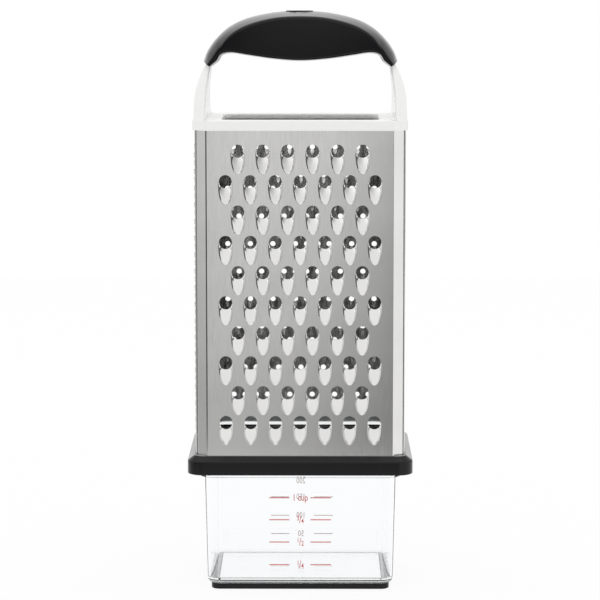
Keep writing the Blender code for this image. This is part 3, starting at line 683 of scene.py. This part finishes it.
def scoop_patch(hole, half, start, length, height, wall, lower_steps, upper_steps, wall_rings,
                deck_rings):
    """Round hole whose lower lip stands out as a scoop: straight sides from the hole's widest
    points, then an arch. A narrow wall climbs from that outline to the scoop's deck, which
    slopes up from its tip to the hole's lip."""
    radius = hole / 2
    rim = []
    outline = []
    for i in range(lower_steps):
        share = i / lower_steps
        angle = -math.pi + share * math.pi
        rim.append(polar(radius, angle))
        if share < SIDE_SHARE:
            outline.append((-half, -start * share / SIDE_SHARE))
        elif share > 1 - SIDE_SHARE:
            outline.append((half, -start * (1 - share) / SIDE_SHARE))
        else:
            turn = (share - SIDE_SHARE) / (1 - 2 * SIDE_SHARE) * math.pi
            across = math.copysign(abs(math.cos(turn)) ** ARCH_POWER, math.cos(turn))
            outline.append((-half * across, -start - (length - start) * math.sin(turn)))
    for i in range(upper_steps):
        angle = math.pi * i / upper_steps
        rim.append(polar(radius, angle))
        outline.append(polar(half, angle))

    def push(x, z, share):
        """Height at a share of the wall's width in from the outline."""
        opening = smoothstep((-z - OPEN_FROM * radius) / (OPEN_OVER * radius))
        if share < DIP_SHARE:
            return -SCOOP_DIP * opening * math.sin(math.pi * share / DIP_SHARE) ** 2
        slope = height * min((length + z) / (length - radius), 1.0)
        crown = 1 - DECK_FALL * (x / half) ** 2
        return slope * crown * opening * smoothstep((share - DIP_SHARE) / (1 - DIP_SHARE))

    rings = [[(x, z, 0.0) for x, z in outline]]
    count = len(outline)
    for number in range(1, wall_rings + 1):
        share = number / wall_rings
        ring = []
        for i, (x, z) in enumerate(outline):
            run = (Vector(outline[(i + 1) % count]) - Vector(outline[i - 1])).normalized()
            reach = min(wall, WALL_MOST * (math.hypot(x, z) - radius)) * share
            place = Vector((x, z)) + Vector((-run.y, run.x)) * reach
            ring.append((place.x, place.y, push(place.x, place.y, share)))
        rings.append(ring)
    deck = [(x, z) for x, z, _ in rings[-1]]
    shares = [number / deck_rings for number in range(1, deck_rings + 1)]
    return rings + patch(deck, rim, shares, lambda x, z: push(x, z, 1.0))


def burr_patch():
    """Small hole with four torn corners that stand up as points."""

    def reach(angle):
        """Share of the way from an edge's middle, 0, to a point, 1."""
        return abs(math.sin(2 * angle))

    def edge(angle):
        return FINE_THROAT + (FINE_TIP - FINE_THROAT) * reach(angle) ** FINE_POWER

    def push(x, z):
        angle = math.atan2(z, x)
        climb = (FINE_OUTER - math.hypot(x, z)) / (FINE_OUTER - edge(angle))
        share = FINE_LOW + (1 - FINE_LOW) * reach(angle) ** 2
        return FINE_POINT * share * smoothstep(climb)

    outline = []
    rim = []
    for i in range(FINE_SIDES):
        angle = 2 * math.pi * i / FINE_SIDES
        outline.append(polar(FINE_OUTER, angle))
        rim.append(polar(edge(angle), angle))
    return patch(outline, rim, FINE_RINGS, push)


def slot_patch():
    """Wide slot with a flush blade edge below and a ramp pressed inwards above."""
    top = SLICER_SLOT + SLICER_RAMP
    inner = SLICER_HALF - SLICER_LIP
    outer = SLICER_HALF + SLICER_LIP
    outer_top = outer - 3 * SLICER_LIP
    level = SLICER_LEVEL * SLICER_SLOT
    slot = [(-SLICER_HALF, 0.0, SLICER_CORNER), (SLICER_HALF, 0.0, SLICER_CORNER),
            (inner, SLICER_SLOT, SLICER_CORNER), (-inner, SLICER_SLOT, SLICER_CORNER)]
    field = [(-outer, -SLICER_LIP, SLICER_LIP), (outer, -SLICER_LIP, SLICER_LIP),
             (outer_top, top, 4 * SLICER_LIP), (-outer_top, top, 4 * SLICER_LIP)]

    def subdivided(loop):
        """Extra points along the long lower and upper runs."""
        points = eased(loop, steps=SLICER_CORNER_STEPS)
        result = []
        for a, b in zip(points, points[1:] + points[:1]):
            result.append(a)
            if (b - a).length > SLICER_HALF:
                result += [a.lerp(b, i / SLICER_RUNS) for i in range(1, SLICER_RUNS)]
        return [(point.x, point.y) for point in result]

    def push(x, z):
        climb = smoothstep((top - z) / SLICER_RAMP)
        side = smoothstep((outer - abs(x)) / (3 * SLICER_LIP))
        lift = smoothstep((z - level) / (SLICER_SLOT - level))
        return -SLICER_PRESS * climb * side * lift

    return patch(subdivided(field), subdivided(slot), SLICER_RINGS, push)


def staggered(pitch, row_pitch, top_drop, rows, full):
    """Centres of a staggered pattern: full rows alternate with rows of one hole less."""
    centres = []
    for row in range(rows):
        count = full if row % 2 else full - 1
        up = TUBE_HEIGHT - top_drop - row * row_pitch
        centres += [((column - (count - 1) / 2) * pitch, up) for column in range(count)]
    return centres


def flanged_path():
    """Plan path of the front sheet: flange, corner facet, flat, facet, flange."""
    flange_x = HALF_X - SHEET - SEAT
    flat_x = HALF_X - TUBE_CORNER
    bend_y = -HALF_Y + (flange_x - flat_x)
    left = [(-flange_x, bend_y + LAP_LENGTH), (-flange_x, bend_y), (-flat_x, -HALF_Y)]
    return left + [(-x, y) for x, y in reversed(left)]


def turned(path):
    """The same path on the opposite side of the tube."""
    return [(-x, -y) for x, y in path]


def side_path():
    """Plan path of the +X side sheet: its edges turn in a little along the corner facets."""
    half = HALF_Y - TUBE_CORNER
    return [(HALF_X - SIDE_LIP, -half - SIDE_LIP), (HALF_X, -half), (HALF_X, half),
            (HALF_X - SIDE_LIP, half + SIDE_LIP)]


def make_sheets():
    front = flanged_path()
    side = side_path()
    slots = [(0.0, TUBE_HEIGHT - SLICER_TOP_DROP - i * SLICER_PITCH) for i in range(SLICER_SLOTS)]
    coarse = (scoop_patch(**COARSE_SCOOP), staggered(**COARSE_PATTERN))
    medium = (scoop_patch(**MEDIUM_SCOOP), staggered(**MEDIUM_PATTERN))
    fine = (burr_patch(), staggered(**FINE_PATTERN))
    sheets = (
        ("coarse_sheet", "coarse_panel", front, *coarse),
        ("medium_sheet", "medium_panel", turned(front), *medium),
        ("fine_sheet", "fine_panel", turned(side), *fine),
        ("slicer_sheet", "slicer_panel", side, slot_patch(), slots),
    )
    for name, node, path, punch, centres in sheets:
        piece = punched_sheet(name, path, [moved(punch, x, z) for x, z in centres])
        settle(piece, "grater", "steel", node)


def ring_piece(name, profile, plan, finish):
    """Closed ring: the eased profile of (offset, height, radius) swept round the plan."""
    mesh_data = bmesh.new()
    skin(mesh_data, swept(eased(profile), plan), closed_path=True)
    return add_piece(name, mesh_data, finish)


def make_skirt():
    def plan(offset):
        if offset < SEAT + 0.5 * SKIRT_LAND:
            return tube_plan(offset)
        return round_plan(offset, SKIRT_CORNER + offset - SKIRT_FACE)

    profile = [
        (SEAT, BASE_BOTTOM, 0),
        (SKIRT_FACE, BASE_BOTTOM, 0.5 * MM),
        (SKIRT_FACE, SKIRT_TOP - SKIRT_SLOPE, 1.2 * MM),
        (SEAT + SKIRT_LAND, SKIRT_TOP, 0.3 * MM),
        (SEAT, SKIRT_TOP, 0),
    ]
    piece = ring_piece("soft_skirt", profile, plan, RUBBER)
    weigh_normals(piece)
    settle(piece, "grater", "soft_black", "base_skirt")


def make_cup():
    """Clear shell: one profile from under the floor, which fills the foot, over the rim and
    down to the floor."""
    slope = (CUP_TOP_FACE - CUP_BOTTOM_FACE) / (FLANGE_BOTTOM - CUP_BOTTOM)
    floor_top = CUP_BOTTOM + CUP_FLOOR
    inner_foot = CUP_BOTTOM_FACE + slope * CUP_FLOOR - CUP_WALL
    inside_foot = FOOT_FACE - FOOT_WIDTH - SEAT
    profile = [
        (CUP_MIDDLE, SEAT, 0),
        (inside_foot, SEAT, CUP_LIP),
        (inside_foot, CUP_BOTTOM, 0),
        (CUP_BOTTOM_FACE, CUP_BOTTOM, CUP_EDGE),
        (CUP_TOP_FACE, FLANGE_BOTTOM, CUP_LIP),
        (FLANGE_FACE, FLANGE_BOTTOM, CUP_LIP),
        (FLANGE_FACE, FLANGE_TOP, CUP_LIP),
        (CUP_NECK_FACE, FLANGE_TOP, CUP_LIP),
        (CUP_NECK_FACE, NECK_TOP, CUP_LIP),
        (CUP_NECK_FACE - CUP_WALL, NECK_TOP, CUP_LIP),
        (inner_foot, floor_top, CUP_FILLET),
        (CUP_MIDDLE, floor_top, 0),
    ]

    def plan(offset):
        radius = CUP_CORNER + min(offset - CUP_BOTTOM_FACE, 0.0)
        if offset > CUP_TOP_FACE:
            radius = CUP_CORNER + offset - CUP_TOP_FACE
        return round_plan(offset, max(radius, CUP_LEAST))

    outline = eased(profile, closed=False, steps=CUP_STEPS)
    piece = solid_piece("clear_cup", swept(outline, plan), CLEAR)
    weigh_normals(piece)
    settle(piece, "container", "clear_plastic", "container")


def make_foot():
    def plan(offset):
        return round_plan(offset, max(FOOT_CORNER + offset - FOOT_FACE, FOOT_LEAST))

    profile = [
        (FOOT_FACE, 0.0, 0.6 * MM),
        (FOOT_FACE, FOOT_TOP, 0.2 * MM),
        (FOOT_FACE - FOOT_WIDTH, FOOT_TOP, 0.2 * MM),
        (FOOT_FACE - FOOT_WIDTH, 0.0, 0.6 * MM),
    ]
    piece = ring_piece("soft_foot", profile, plan, RUBBER)
    weigh_normals(piece)
    settle(piece, "container", "soft_black", "container_foot")


def arm_station(height):
    """Outer X, inner X and half depth of an arm at a height above the collar's top."""
    facet = TUBE_CORNER + COLLAR_FACE * (2 - math.sqrt(2))
    outer_base = HALF_X + COLLAR_FACE - ARM_INSET
    inner_base = outer_base - ARM_THICKNESS
    depth_base = (HALF_Y + COLLAR_FACE - facet + ARM_INSET + ARM_THICKNESS - ARM_NOSE
                  + ARM_PROUD)
    lean = max(0.0, (height - ARM_STRAIGHT) / (ARM_RISE - ARM_STRAIGHT)) ** 2
    outer = outer_base - lean * ARM_LEAN
    inner = inner_base - lean * (ARM_LEAN - ARM_TAPER)
    rise = max(0.0, 1 - max(height, 0.0) / ARM_RISE)
    top_half = ARM_TOP_DEPTH / 2
    half = top_half + (depth_base - top_half) * rise ** ARM_DEPTH_CURVE
    return outer, inner, half


def strap_section(outer, inner, half, grow):
    """Section between two (x, z) points: outer side with 45 degree facets, eased edges."""
    outer = Vector(outer)
    inner = Vector(inner)
    thickness = (outer - inner).length
    across = (outer - inner).normalized()
    facet = min(thickness - ARM_NOSE, half / 2)
    low = -grow
    nose = min(ARM_NOSE, thickness / 3)
    high = thickness + grow
    half += grow
    corners = [
        (low, -(half - ARM_NOSE), ARM_EDGE),
        (nose, -half, ARM_EDGE),
        (high, -(half - facet), 3 * ARM_EDGE),
        (high, half - facet, 3 * ARM_EDGE),
        (nose, half, ARM_EDGE),
        (low, half - ARM_NOSE, ARM_EDGE),
    ]
    return [((inner + across * out).x, y, (inner + across * out).y)
            for out, y in eased(corners, steps=ARM_STEPS)]


def smooth_through(points, between):
    """Catmull-Rom curve through 2D points, with stations between each pair."""
    ends = [2 * points[0] - points[1]] + points + [2 * points[-1] - points[-2]]
    curve = []
    for a, b, c, d in zip(ends, ends[1:], ends[2:], ends[3:]):
        for step in range(between):
            t = step / between
            curve.append(0.5 * (2 * b + (c - a) * t + (2 * a - 5 * b + 4 * c - d) * t ** 2
                                + (3 * b - a - 3 * c + d) * t ** 3))
    return curve + [points[-1]]


def grip_pairs(between):
    """Outer and inner (x, z) points of the grip's sections, from the right end to the left."""
    sides = []
    for side in (0, 1):
        right = [Vector((pair[side][0] * GRIP_REACH, ARM_TOP + pair[side][1] * GRIP_RISE))
                 for pair in GRIP_PROFILE]
        left = [Vector((-point.x, point.y)) for point in reversed(right[:-1])]
        sides.append(smooth_through(right + left, between))
    return list(zip(*sides))


def handle_sections(grow):
    """Sections from the right arm's foot, sunk in the collar, through the grip to the left
    arm's foot. Grow swells them all round, for the tunnel that takes them."""
    arm = []
    for i in range(ARM_STATIONS):
        height = ARM_FOOT + (ARM_RISE - ARM_FOOT) * i / (ARM_STATIONS - 1)
        outer, inner, half = arm_station(height)
        level = COLLAR_TOP + height
        arm.append(strap_section((outer, level), (inner, level), half, grow))
    arch = []
    for outer, inner in grip_pairs(ARCH_BETWEEN)[ARCH_BETWEEN:-ARCH_BETWEEN]:
        middle = (outer + inner) / 2
        spread = (outer - inner).normalized() * (ARM_THICKNESS - ARM_TAPER) / 2
        arch.append(strap_section(middle + spread, middle - spread, ARCH_DEPTH / 2, grow))
    return arm + arch + mirrored(arm)


def make_handle():
    def plan(offset):
        if offset > OPENING_FACE / 2:
            return tube_plan(offset)
        return round_plan(offset, OPENING_CORNER + offset - OPENING_FACE)

    spigot_in = INSIDE_LAPS - WALL
    profile = [
        (COLLAR_FACE, COLLAR_BOTTOM, 0.15 * MM),
        (COLLAR_FACE, COLLAR_TOP, 0.5 * MM),
        (OPENING_FACE, COLLAR_TOP, OPENING_EDGE),
        (OPENING_FACE, COLLAR_CEILING, 0.4 * MM),
        (spigot_in, COLLAR_CEILING, 0),
        (spigot_in, SPIGOT_BOTTOM, 0.3 * MM),
        (INSIDE_LAPS, SPIGOT_BOTTOM, 0.3 * MM),
        (INSIDE_LAPS, COLLAR_CEILING, 0),
        (SEAT, COLLAR_CEILING, 0),
        (SEAT, COLLAR_BOTTOM, 0.1 * MM),
    ]
    handle = ring_piece("handle_moulding", profile, plan, WHITE)
    combine(handle, solid_piece("arms", handle_sections(0.0), WHITE), "UNION")
    weigh_normals(handle)
    settle(handle, "grater", "white_plastic", "handle_frame")


def grip_section(outer, inner, share, shrink=0.0):
    """Section between the outer and inner points, in their plane and Y: flat front and back,
    crowned top and underside, rounded edges. Share is 0 at the grip's ends and 1 in its middle."""
    depth = GRIP_END_DEPTH + (GRIP_DEPTH - GRIP_END_DEPTH) * share
    crown = GRIP_END_CROWN + (GRIP_CROWN - GRIP_END_CROWN) * share
    curve = GRIP_END_CURVE + (GRIP_CROWN_CURVE - GRIP_END_CURVE) * share
    centre = (outer + inner) / 2
    across = (outer - inner).normalized()
    reach = (outer - inner).length / 2 - shrink
    half = depth / 2 - shrink
    crowns = (min(crown, GRIP_CROWN_MOST * reach), min(GRIP_UNDER_CROWN, GRIP_UNDER_MOST * reach))
    corners = []
    for sign, crown, most in zip((1, -1), crowns, (GRIP_ROUNDING, GRIP_UNDER_ROUNDING)):
        rounding = min(most, GRIP_ROUNDING_MOST * reach)
        corners.append((sign * (reach - crown), -sign * half, rounding))
        for i in range(GRIP_CROWN_SPOTS):
            spot = GRIP_CROWN_SPAN * (2 * i / (GRIP_CROWN_SPOTS - 1) - 1)
            corners.append((sign * (reach - crown * abs(spot) ** curve), sign * spot * half, 0))
        corners.append((sign * (reach - crown), sign * half, rounding))
    return [((centre + across * out).x, side, (centre + across * out).y)
            for out, side in eased(corners, steps=GRIP_CORNER_STEPS)]


def make_grip():
    pairs = grip_pairs(GRIP_BETWEEN)
    outer, inner = pairs[0]
    across = (outer - inner).normalized()
    downwards = Vector((across.y, -across.x))
    end = []
    for step in range(GRIP_END_STEPS, 0, -1):
        angle = step / GRIP_END_STEPS * math.pi / 2
        travel = downwards * GRIP_END_EDGE * math.sin(angle)
        shrink = GRIP_END_EDGE * (1 - math.cos(angle))
        end.append(grip_section(outer + travel, inner + travel, 0.0, shrink))
    sections = list(end)
    for i, (outer, inner) in enumerate(pairs):
        share = math.sin(i / (len(pairs) - 1) * math.pi) ** 2
        sections.append(grip_section(outer, inner, share))
    grip = solid_piece("soft_grip", sections + mirrored(end), RUBBER)
    combine(grip, solid_piece("core", handle_sections(SEAT), RUBBER), "DIFFERENCE")
    pocket = [oval(-SEAT, level) for level in (PLATE_LOW - SEAT, GRIP_TOP + PLATE_HEIGHT)]
    combine(grip, solid_piece("pocket", pocket, RUBBER), "DIFFERENCE")
    settle(grip, "grater", "soft_black", "grip")


def make_plate():
    """The raised oval on top of the grip, with an eased upper edge."""
    rings = [oval(0.0, PLATE_LOW)]
    for step in range(EASE_STEPS + 1):
        angle = step / EASE_STEPS * math.pi / 2
        inset = PLATE_EDGE * (1 - math.cos(angle))
        level = GRIP_TOP + PLATE_STAND - PLATE_EDGE * (1 - math.sin(angle))
        rings.append(oval(inset, level))
    plate = solid_piece("grip_plate", rings, BLACK)
    weigh_normals(plate)
    settle(plate, "grater", "black_plastic", "grip_inlay")


def oval(inset, level):
    """The raised oval's outline, or one inside it."""
    points = []
    for i in range(PLATE_SIDES):
        angle = 2 * math.pi * i / PLATE_SIDES
        x = PLATE_SHIFT + (PLATE_LENGTH / 2 - inset) * math.cos(angle)
        points.append((x, (PLATE_WIDTH / 2 - inset) * math.sin(angle), level))
    return points


def cup_wall(z):
    """Depth of the cup's outer wall at a height."""
    share = (z - CUP_BOTTOM) / (FLANGE_BOTTOM - CUP_BOTTOM)
    return HALF_Y + CUP_BOTTOM_FACE + (CUP_TOP_FACE - CUP_BOTTOM_FACE) * share


def box_verts(mesh_data, x0, x1, z0, z1):
    made = bmesh.ops.create_cube(mesh_data, size=1.0)["verts"]
    for vertex in made:
        x, y, z = vertex.co
        vertex.co = (x0 if x < 0 else x1, INK if y < 0 else 0.0, z0 if z < 0 else z1)


def text_verts(mesh_data, words, height, weight, x, z):
    """Narrow thin lettering centred on a point, INK thick."""
    curve = bpy.data.curves.new("scale_text", "FONT")
    curve.body = words
    curve.size = height * LETTER_SIZE
    curve.offset = weight
    curve.align_x = "CENTER"
    curve.align_y = "CENTER"
    curve.extrude = INK / 2
    curve.resolution_u = 3
    source = bpy.data.objects.new("scale_text", curve)
    mesh = bpy.data.meshes.new_from_object(source)
    bpy.data.objects.remove(source)
    first = len(mesh_data.verts)
    mesh_data.from_mesh(mesh)
    mesh_data.verts.ensure_lookup_table()
    for vertex in mesh_data.verts[first:]:
        across, up, thick = vertex.co
        vertex.co = (x + across * LETTER_WIDTH, INK / 2 - thick, z + up)


def fraction_verts(mesh_data, top, bottom, height, weight, z):
    """Fraction centred on X = 0: small figures up to the left and down to the right."""
    size = DIGIT_SIZE * height
    rise = DIGIT_RISE * height
    text_verts(mesh_data, top, size, weight, DIGIT_LEFT * height, z + rise)
    text_verts(mesh_data, "/", height, weight / 2, 0.0, z)
    text_verts(mesh_data, bottom, size, weight, DIGIT_RIGHT * height, z - rise)


def make_scale(name, marks, dashes, weight, dash, facing):
    """Red scale printed on a wall of the cup: facing is -1 for the front and 1 for the back."""
    mesh_data = bmesh.new()
    for words, height, z in marks:
        if "/" in words:
            fraction_verts(mesh_data, words[0], words[-1], height, weight, z)
        else:
            text_verts(mesh_data, words, height, weight, 0.0, z)
        # The 200 mark has no dashes
        for x0, x1 in dashes if words != "200" else []:
            box_verts(mesh_data, x0, x1, z - dash / 2, z + dash / 2)
    for vertex in mesh_data.verts:
        x, proud, z = vertex.co
        vertex.co = (-facing * x, facing * (cup_wall(z) + proud + PRINT_GAP), z)
    bmesh.ops.remove_doubles(mesh_data, verts=mesh_data.verts[:], dist=MERGE)
    piece = add_piece(name, mesh_data, INK_RED)
    settle(piece, "container", "clear_plastic")


def seen_rays(tree):
    """1 on camera, glossy and transmission rays."""
    rays = tree.nodes.new("ShaderNodeLightPath").outputs
    direct = math_node(tree, "MAXIMUM", rays["Is Camera Ray"], rays["Is Glossy Ray"])
    return math_node(tree, "MAXIMUM", direct, rays["Is Transmission Ray"])


def make_floor():
    mesh = bpy.data.meshes.new("floor")
    mesh.from_pydata(FLOOR, [], [(0, 1, 2, 3)])
    floor = add_object("floor", mesh)
    made = bpy.data.materials.new("pale_floor")
    made.use_nodes = True
    tree = made.node_tree
    tree.nodes.clear()
    diffuse = add_node(tree, "ShaderNodeBsdfDiffuse", {"Color": (0.9, 0.9, 0.9, 1.0)})
    glow = add_node(tree, "ShaderNodeEmission", {"Color": (1.0, 1.0, 1.0, 1.0), "Strength": 1.0})
    shown = math_node(tree, "MULTIPLY", seen_rays(tree), FLOOR_GLOW)
    inputs = {"Fac": shown, 1: diffuse.outputs[0], 2: glow.outputs[0]}
    mixed = add_node(tree, "ShaderNodeMixShader", inputs)
    add_node(tree, "ShaderNodeOutputMaterial", {"Surface": mixed.outputs[0]})
    mesh.materials.append(made)


def make_world():
    """White to the camera and through the clear cup. Metal sees a studio that is white to the
    right, behind and above, and a dimmer room in front and to the left."""
    world = bpy.data.worlds.new("studio")
    bpy.context.scene.world = world
    world.use_nodes = True
    tree = world.node_tree
    tree.nodes.clear()
    direction = tree.nodes.new("ShaderNodeTexCoord").outputs["Generated"]
    x, y, z = add_node(tree, "ShaderNodeSeparateXYZ", {0: direction}).outputs

    def times(first, second):
        return math_node(tree, "MULTIPLY", first, second)

    def line(value, slope, level):
        return math_node(tree, "MULTIPLY_ADD", value, slope, level)

    front = times(y, -1.0)
    left = times(x, -1.0)
    beside = math_node(tree, "ABSOLUTE", x)
    # The room seen straight in front: darker to the right and lower down
    height = math_node(tree, "ADD", z, ROOM_DROP)
    lean = line(x, ROOM_BEND, line(height, ROOM_TWIST, ROOM_SIDE))
    room = line(x, lean, line(height, ROOM_UP, ROOM_LEVEL))
    room = clamped(tree, times(room, ramp(tree, height, *ROOM_LOW)), *ROOM_LIMITS)
    left_room = line(math_node(tree, "ADD", z, LEFT_DROP), LEFT_UP, LEFT_LEVEL)
    left_room = clamped(tree, left_room, *LEFT_LIMITS)
    # Base: white to the right and behind, dim in the left front quarter
    quarter = times(ramp(tree, front, -0.1, 0.35), ramp(tree, left, -0.5, 0.05))
    base = line(quarter, -QUARTER_DIM, 1.0)
    base = blend(tree, base, room, ramp(tree, front, 0.955, 0.98))
    base = blend(tree, base, left_room, ramp(tree, left, 0.95, 0.985))
    base = blend(tree, base, 1.0, ramp(tree, z, 0.12, 0.4))
    # Behind, the backdrop ends at the sides
    ended = times(ramp(tree, beside, 0.3, 0.5), ramp(tree, y, 0.2, 0.5))
    base = blend(tree, base, BESIDE, times(ended, BESIDE_SHARE))
    # Low in front lies a pale table
    table = line(x, TABLE_SIDE, TABLE_LEVEL)
    table = blend(tree, table, TABLE_END, ramp(tree, beside, 0.25, 0.42))
    base = blend(tree, base, table, ramp(tree, times(z, -1.0), 0.2, 0.3))
    rays = tree.nodes.new("ShaderNodeLightPath").outputs
    shown = math_node(tree, "MAXIMUM", rays["Is Camera Ray"], rays["Is Transmission Ray"])
    level = blend(tree, SCATTERED, blend(tree, base, 1.0, shown), seen_rays(tree))
    inputs = {"Color": (1.0, 1.0, 1.0, 1.0), "Strength": level}
    background = add_node(tree, "ShaderNodeBackground", inputs)
    add_node(tree, "ShaderNodeOutputWorld", {"Surface": background.outputs[0]})


def make_lamps():
    for name, place, target, side, power in LAMPS:
        light = bpy.data.lights.new(name, "AREA")
        light.shape = "SQUARE"
        light.size = side
        light.energy = power
        lamp = add_object(name, light)
        lamp.location = place
        aim = Vector(target) - Vector(place)
        lamp.rotation_euler = aim.to_track_quat("-Z", "Y").to_euler()


def make_camera():
    camera = bpy.data.cameras.new("camera")
    camera.lens = CAMERA_LENS
    camera.sensor_width = CAMERA_SENSOR
    placed = add_object("camera", camera)
    placed.location = CAMERA_PLACE
    placed.rotation_euler = (math.radians(90 - CAMERA_DOWN), 0.0, math.radians(CAMERA_TURN))
    bpy.context.scene.camera = placed


make_sheets()
make_skirt()
make_cup()
make_foot()
make_handle()
make_grip()
make_plate()
make_scale("cup_scale", FRONT_MARKS, FRONT_DASHES, FRONT_WEIGHT, FRONT_DASH, -1)
make_scale("millilitre_scale", BACK_MARKS, BACK_DASHES, BACK_WEIGHT, BACK_DASH, 1)
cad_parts["base_frame"].data.materials.clear()
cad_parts["base_frame"].data.materials.append(BLACK)
make_floor()
make_world()
make_lamps()
make_camera()
bpy.context.scene.view_settings.view_transform = "Standard"
